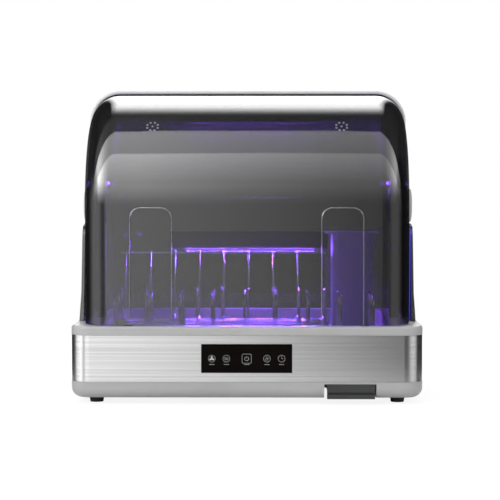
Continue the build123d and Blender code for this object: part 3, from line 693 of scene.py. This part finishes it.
# side, name, and the span of the painted violet glow as shares of the side panel's height
GLOW_SPANS = ((1, "right", 0.02, 0.97), (-1, "left", 0.0, 0.06))
BOX_FACES = ((0, 1, 2, 3), (7, 6, 5, 4), (0, 4, 5, 1), (1, 5, 6, 2), (2, 6, 7, 3), (3, 7, 4, 0))


def violet_reflection_strip(material):
    """Thin glowing strip between the rear shell and each side panel; its emission is a painted violet
    reflection, not a lamp.
    """
    low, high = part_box("side_panel_right")
    shell_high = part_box("rear_shell")[1]
    height = high.z - low.z
    y0, y1 = (low.y + inset for inset in GLOW_INSETS)
    for side, name, foot, top in GLOW_SPANS:
        x0, x1 = sorted((side * (shell_high.x + GLOW_GAP), side * (low.x - GLOW_GAP)))
        levels = (low.z + height * foot, low.z + height * top)
        corners = [(x, y, z) for z in levels for x, y in ((x0, y0), (x1, y0), (x1, y1), (x0, y1))]
        add_mesh("violet_reflection_strip_" + name, corners, BOX_FACES, material, "base", smooth=False)


# ------------------------------------------------------------------ studio
FLOOR_HALF = 6.0
FLOOR_NEAR = 0.75
FLOOR_FAR = 1.5
FLOOR_GREY = 0.82
SHADOW_SHARE = 0.16
# how bright a white floor comes out under the lights, so that the lit floor adds up to about plain white
LIT_LEVEL = 0.75
MIRROR_REACH = 0.42


def floor_material():
    """Pale floor that keeps the shadow, fades to white far off and shows in reflections only close by."""
    material, t = new_material("studio_floor")
    place = t.add("ShaderNodeTexCoord")
    length = t.add("ShaderNodeVectorMath", operation="LENGTH")
    t.link(place.outputs["Object"], length.inputs[0])
    distance = length.outputs["Value"]
    past_near = t.math("SUBTRACT", distance, FLOOR_NEAR)
    far = t.math("DIVIDE", past_near, FLOOR_FAR - FLOOR_NEAR, clamp=True)
    path = t.add("ShaderNodeLightPath")
    seen = t.math("ADD", path.outputs["Is Camera Ray"], path.outputs["Is Transmission Ray"], clamp=True)
    matte = t.add("ShaderNodeBsdfDiffuse")
    t.link(t.ramp(seen, [(0.0, FLOOR_GREY), (1.0, SHADOW_SHARE)]), matte.inputs["Color"])
    lift = t.add("ShaderNodeEmission")
    t.link(t.math("MULTIPLY", seen, 1.0 - LIT_LEVEL * SHADOW_SHARE), lift.inputs["Strength"])
    near_shader = t.add("ShaderNodeAddShader")
    t.link(matte.outputs[0], near_shader.inputs[0])
    t.link(lift.outputs[0], near_shader.inputs[1])
    white = t.add("ShaderNodeEmission")
    white.inputs["Strength"].default_value = 1.0
    mix = t.add("ShaderNodeMixShader")
    t.link(far, mix.inputs[0])
    t.link(near_shader.outputs[0], mix.inputs[1])
    t.link(white.outputs[0], mix.inputs[2])
    clear = t.add("ShaderNodeBsdfTransparent")
    shine = t.add("ShaderNodeMixShader")
    past_reach = t.math("GREATER_THAN", distance, MIRROR_REACH)
    t.link(t.math("MULTIPLY", path.outputs["Is Glossy Ray"], past_reach), shine.inputs[0])
    t.link(mix.outputs[0], shine.inputs[1])
    t.link(clear.outputs[0], shine.inputs[2])
    finish_material(t, shine.outputs[0])
    return material


def make_floor():
    corners = [(FLOOR_HALF * x, FLOOR_HALF * y, 0) for x, y in ((-1, -1), (1, -1), (1, 1), (-1, 1))]
    floor = new_object("studio_floor", corners, [(0, 1, 2, 3)], floor_material(), smooth=False)


# What reflections see, as (where, level) pairs. Level 1 is as bright as the white room. Turn and climb are
# in degrees from straight in front of the cabinet: turn goes to the viewer's right, climb goes up, past 90
# overhead and on to the back. X, side and z are parts of a direction of length 1, side without its sign.
# Low rays read the first line, high rays the others, and HIGH_BY_Z blends the two.
LOW_BY_TURN = (
    (-180, 0.03), (-122, 0.05), (-111, 0.12), (-102, 0.42), (-92, 1.0), (-84, 1.25), (-60, 1.25),
    (-52, 0.85), (-46, 0.5), (-41, 0.36), (-36, 0.42), (-30, 1.0), (-25, 1.3), (-6, 1.16), (-4.6, 1.04),
    (-2.3, 0.88), (0, 0.63), (1.1, 0.52), (2.2, 0.41), (4.0, 0.22), (5.3, 0.03), (17, 0.02), (24, 0.03),
    (36, 0.30), (45, 0.62), (68, 0.65), (78, 0.5), (88, 0.2), (95, 0.04), (180, 0.03),
)
FRONT_BY_CLIMB = ((0, 0.35), (25, 0.63), (55.8, 1.75), (56.5, 0.98), (83.0, 1.4), (83.8, 0.04), (180, 0.04))
LEFT_BY_CLIMB = (
    (0, 2.38), (25, 1.96), (55.8, 2.94), (56.5, 1.4), (83.0, 1.4), (83.8, 0.21), (104, 0.21), (112, 0.0),
    (180, 0.0),
)
LEFT_BY_X = ((-1, 1.0), (-0.08, 1.0), (-0.02, 0.5), (0.04, 0.15), (0.09, 0.0), (1, 0.0))
FRONT_BY_SIDE = (
    (0, 1.0), (0.3, 1.0), (0.55, 1.5), (0.70, 2.4), (0.86, 3.4), (0.90, 1.8), (0.96, 1.4), (1, 1.0),
)
TOP_BY_CLIMB = (
    (106, 0), (109, 0.1), (112.5, 0.9), (118, 3.8), (124, 7.0), (158, 7.0), (170, 3.0), (180, 0.4),
)
TOP_BY_SIDE = ((0, 1.0), (0.10, 1.0), (0.17, 0.55), (0.26, 0.0), (1, 0.0))
HIGH_BY_Z = ((0.05, 0.0), (0.35, 1.0))
# degrees by which the edges of the front boxes sink toward the sides
SIDE_TILT = 12.0
DIFFUSE_LEVEL = 0.55


def make_world():
    """White room for the eye; reflections see soft boxes with dark gaps between them."""
    world = bpy.data.worlds.new("studio")
    bpy.context.scene.world = world
    world.use_nodes = True
    t = Tree(world.node_tree)
    place = t.add("ShaderNodeTexCoord")
    split = t.add("ShaderNodeSeparateXYZ")
    t.link(place.outputs["Generated"], split.inputs[0])
    x, y, z = split.outputs
    ahead = t.math("MULTIPLY", y, -1.0)
    aside = t.math("ABSOLUTE", x)
    climb = t.math("MULTIPLY", t.math("ARCTAN2", z, ahead), 180 / math.pi)
    turn = t.math("MULTIPLY", t.math("ARCTAN2", x, ahead), 180 / math.pi)
    low_boxes = t.curve(turn, LOW_BY_TURN)
    edge = t.math("ADD", climb, t.math("MULTIPLY", aside, SIDE_TILT))
    even = t.curve(edge, FRONT_BY_CLIMB)
    left = t.math("MULTIPLY", t.curve(edge, LEFT_BY_CLIMB), t.curve(x, LEFT_BY_X))
    front = t.math("MULTIPLY", t.math("ADD", even, left), t.curve(aside, FRONT_BY_SIDE))
    top = t.math("MULTIPLY", t.curve(climb, TOP_BY_CLIMB), t.curve(aside, TOP_BY_SIDE))
    high_boxes = t.math("ADD", front, top)
    height = t.curve(z, HIGH_BY_Z)
    room = t.add("ShaderNodeMix", data_type="FLOAT")
    t.link(height, room.inputs[0])
    t.link(low_boxes, room.inputs[2])
    t.link(high_boxes, room.inputs[3])
    path = t.add("ShaderNodeLightPath")
    white = t.add("ShaderNodeBackground")
    ambient = t.math("MULTIPLY", path.outputs["Is Diffuse Ray"], DIFFUSE_LEVEL - 1.0)
    t.link(t.math("ADD", ambient, 1.0), white.inputs["Strength"])
    white.inputs["Color"].default_value = (1, 1, 1, 1)
    boxes = t.add("ShaderNodeBackground")
    boxes.inputs["Color"].default_value = (1, 1, 1, 1)
    t.link(room.outputs[0], boxes.inputs["Strength"])
    mix = t.add("ShaderNodeMixShader")
    t.link(path.outputs["Is Glossy Ray"], mix.inputs[0])
    t.link(white.outputs[0], mix.inputs[1])
    t.link(boxes.outputs[0], mix.inputs[2])
    output = t.add("ShaderNodeOutputWorld")
    t.link(mix.outputs[0], output.inputs["Surface"])


LIGHT_AIM = (0, 0, 0.2)
# name, place, width, depth and power
ROOM_LIGHTS = (
    ("key_light", (-1.3, -1.5, 1.5), 1.0, 1.0, 26.0),
    ("fill_light", (1.6, -1.2, 1.0), 1.0, 1.0, 6.0),
    ("top_light", (0, 0.3, 1.8), 1.2, 0.8, 14.0),
)
VIOLET_LIGHT = (0.24, 0.08, 1.0)
TUBE_DROP = 8.0 * MM
TUBE_AIM = Vector((0, -0.25, -0.20))
TUBE_WIDTH = 12.0 * MM
TUBE_POWER = 5.0
SPOT_INSET = 18.0 * MM
SPOT_RADIUS = 4.0 * MM
SPOT_POWER = 0.35


def area_light(name, place, target, size_x, size_y, power, colour=(1, 1, 1), glossy=True):
    light = bpy.data.lights.new(name, "AREA")
    light.shape = "RECTANGLE"
    light.size = size_x
    light.size_y = size_y
    light.energy = power
    light.color = colour
    obj = bpy.data.objects.new(name, light)
    bpy.context.scene.collection.objects.link(obj)
    obj.location = place
    direction = Vector(target) - Vector(place)
    obj.rotation_euler = direction.to_track_quat("-Z", "Y").to_euler()
    obj.visible_camera = False
    obj.visible_glossy = glossy
    obj.visible_transmission = False


def make_lights():
    for name, place, width, depth, power in ROOM_LIGHTS:
        area_light(name, place, LIGHT_AIM, width, depth, power, glossy=False)
    low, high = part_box("uv_lamp_tube")
    below = Vector(((low.x + high.x) / 2, (low.y + high.y) / 2, low.z - TUBE_DROP))
    area_light("uv_light", below, below + TUBE_AIM, high.x - low.x, TUBE_WIDTH, TUBE_POWER, VIOLET_LIGHT)
    low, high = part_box("uv_lights")
    for side in (-1, 1):
        spot = bpy.data.lights.new("uv_bead_light", "POINT")
        spot.energy = SPOT_POWER
        spot.color = VIOLET_LIGHT
        spot.shadow_soft_size = SPOT_RADIUS
        lamp = bpy.data.objects.new("uv_bead_light", spot)
        lamp.location = (side * (high.x - SPOT_INSET), low.y, (low.z + high.z) / 2)
        bpy.context.scene.collection.objects.link(lamp)


def make_camera():
    camera = bpy.data.cameras.new("photo_camera")
    camera.sensor_width = SENSOR
    camera.lens = SENSOR * FOCAL_PX / PHOTO_PX
    obj = bpy.data.objects.new("photo_camera", camera)
    bpy.context.scene.collection.objects.link(obj)
    pitch = math.atan((PHOTO_PX / 2 - HORIZON_PX) / FOCAL_PX)
    obj.location = (EYE_SIDE, CAD_BOX[0][1] - FRONT_DISTANCE, EYE_HEIGHT)
    obj.rotation_euler = (math.radians(90) - pitch, 0, EYE_TURN)
    bpy.context.scene.camera = obj


make_camera()
make_world()
make_floor()
make_lights()
for node_name, node_material in make_materials().items():
    dress(node_name, node_material)
panel_symbols()
# light grey band on the rear shell's rim: painted highlight of its grazing reflection
rim_highlight_band(moulded_plastic("seal_band_satin", 0.54, 0.62, 0.30))
arch_beads(smoked_plastic("smoked_bead", 0.40, gloss=0.28, rough=0.2))
rosette_rims(moulded_plastic("smoked_vent_rim", (0.30, 0.30, 0.31), (0.38, 0.38, 0.39), 0.25))
# emissive strips beside the side panels: painted violet reflection, no lamp there
violet_reflection_strip(glowing("painted_violet_reflection", (0.05, 0.03, 1.0), 0.9))

bpy.context.scene.view_settings.view_transform = "Standard"
